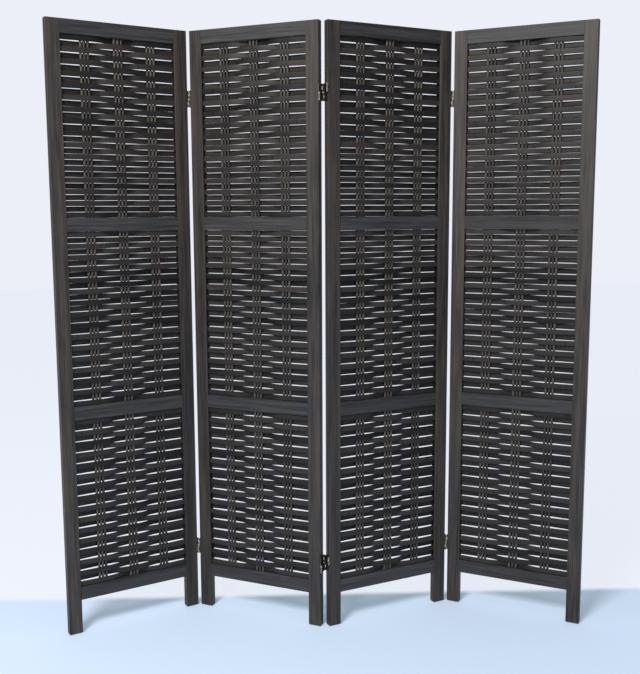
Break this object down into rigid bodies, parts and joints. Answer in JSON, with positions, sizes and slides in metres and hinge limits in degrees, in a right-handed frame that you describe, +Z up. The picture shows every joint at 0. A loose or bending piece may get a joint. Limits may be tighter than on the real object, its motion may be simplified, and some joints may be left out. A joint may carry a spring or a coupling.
{
  "type": "bamboo folding screen",
  "caption": "Free-standing folding room screen: dark wood frames filled with woven flat bamboo strips, joined by two-way hinges.",
  "frame": {"origin": "centre of the bounding box in plan, on the floor, at the rest pose shown in the picture", "axes": "+Z up, +X along the screen from its left end to its right end as seen from the front, +Y towards the back"},
  "size_m": [1.4814, 0.2232, 1.7],
  "materials": {
    "frame_wood": "dark stained solid wood, satin",
    "slats": "dark stained split bamboo, satin",
    "stakes": "dark stained round bamboo sticks",
    "pale_wood": "plain turned hardwood",
    "hinge_metal": "antique bronzed plate, worn bright on the knuckles",
    "pins": "plain drawn steel",
    "screws": "antique bronzed, slotted"
  },
  "bodies": {
    "panel_2": {"panel_2_bottom_rail": "frame_wood", "panel_2_dowels": "pale_wood", "panel_2_hinge_leaves": "hinge_metal", "panel_2_hinge_screws": "screws", "panel_2_lower_rail": "frame_wood", "panel_2_slats": "slats", "panel_2_stakes": "stakes", "panel_2_stile_left": "frame_wood", "panel_2_stile_right": "frame_wood", "panel_2_top_rail": "frame_wood", "panel_2_upper_rail": "frame_wood", "hinge_1_lower_pins": "pins", "hinge_1_lower_plates": "hinge_metal", "hinge_2_lower_pins": "pins", "hinge_2_lower_plates": "hinge_metal"},
    "panel_1": {"panel_1_bottom_rail": "frame_wood", "panel_1_dowels": "pale_wood", "panel_1_hinge_leaves": "hinge_metal", "panel_1_hinge_screws": "screws", "panel_1_lower_rail": "frame_wood", "panel_1_slats": "slats", "panel_1_stakes": "stakes", "panel_1_stile_left": "frame_wood", "panel_1_stile_right": "frame_wood", "panel_1_top_rail": "frame_wood", "panel_1_upper_rail": "frame_wood", "hinge_1_upper_pins": "pins", "hinge_1_upper_plates": "hinge_metal"},
    "panel_3": {"panel_3_bottom_rail": "frame_wood", "panel_3_dowels": "pale_wood", "panel_3_hinge_leaves": "hinge_metal", "panel_3_hinge_screws": "screws", "panel_3_lower_rail": "frame_wood", "panel_3_slats": "slats", "panel_3_stakes": "stakes", "panel_3_stile_left": "frame_wood", "panel_3_stile_right": "frame_wood", "panel_3_top_rail": "frame_wood", "panel_3_upper_rail": "frame_wood", "hinge_2_upper_pins": "pins", "hinge_2_upper_plates": "hinge_metal", "hinge_3_upper_pins": "pins", "hinge_3_upper_plates": "hinge_metal"},
    "panel_4": {"panel_4_bottom_rail": "frame_wood", "panel_4_dowels": "pale_wood", "panel_4_hinge_leaves": "hinge_metal", "panel_4_hinge_screws": "screws", "panel_4_lower_rail": "frame_wood", "panel_4_slats": "slats", "panel_4_stakes": "stakes", "panel_4_stile_left": "frame_wood", "panel_4_stile_right": "frame_wood", "panel_4_top_rail": "frame_wood", "panel_4_upper_rail": "frame_wood", "hinge_3_lower_pins": "pins", "hinge_3_lower_plates": "hinge_metal"}
  },
  "joints": [
    {"name": "line_1_fold", "type": "hinge", "parent": "panel_2", "child": "panel_1", "pos_m": [-0.38066, 0.08826, 0.85], "axis": [0, 0, 1], "range_deg": [-56, 124]},
    {"name": "line_2_fold", "type": "hinge", "parent": "panel_2", "child": "panel_3", "pos_m": [-0.00442, -0.06877, 0.85], "axis": [0, 0, 1], "range_deg": [-51, 127.5]},
    {"name": "line_3_fold", "type": "hinge", "parent": "panel_3", "child": "panel_4", "pos_m": [0.3745, 0.08167, 0.85], "axis": [0, 0, -1], "range_deg": [-53, 127]}
  ]
}
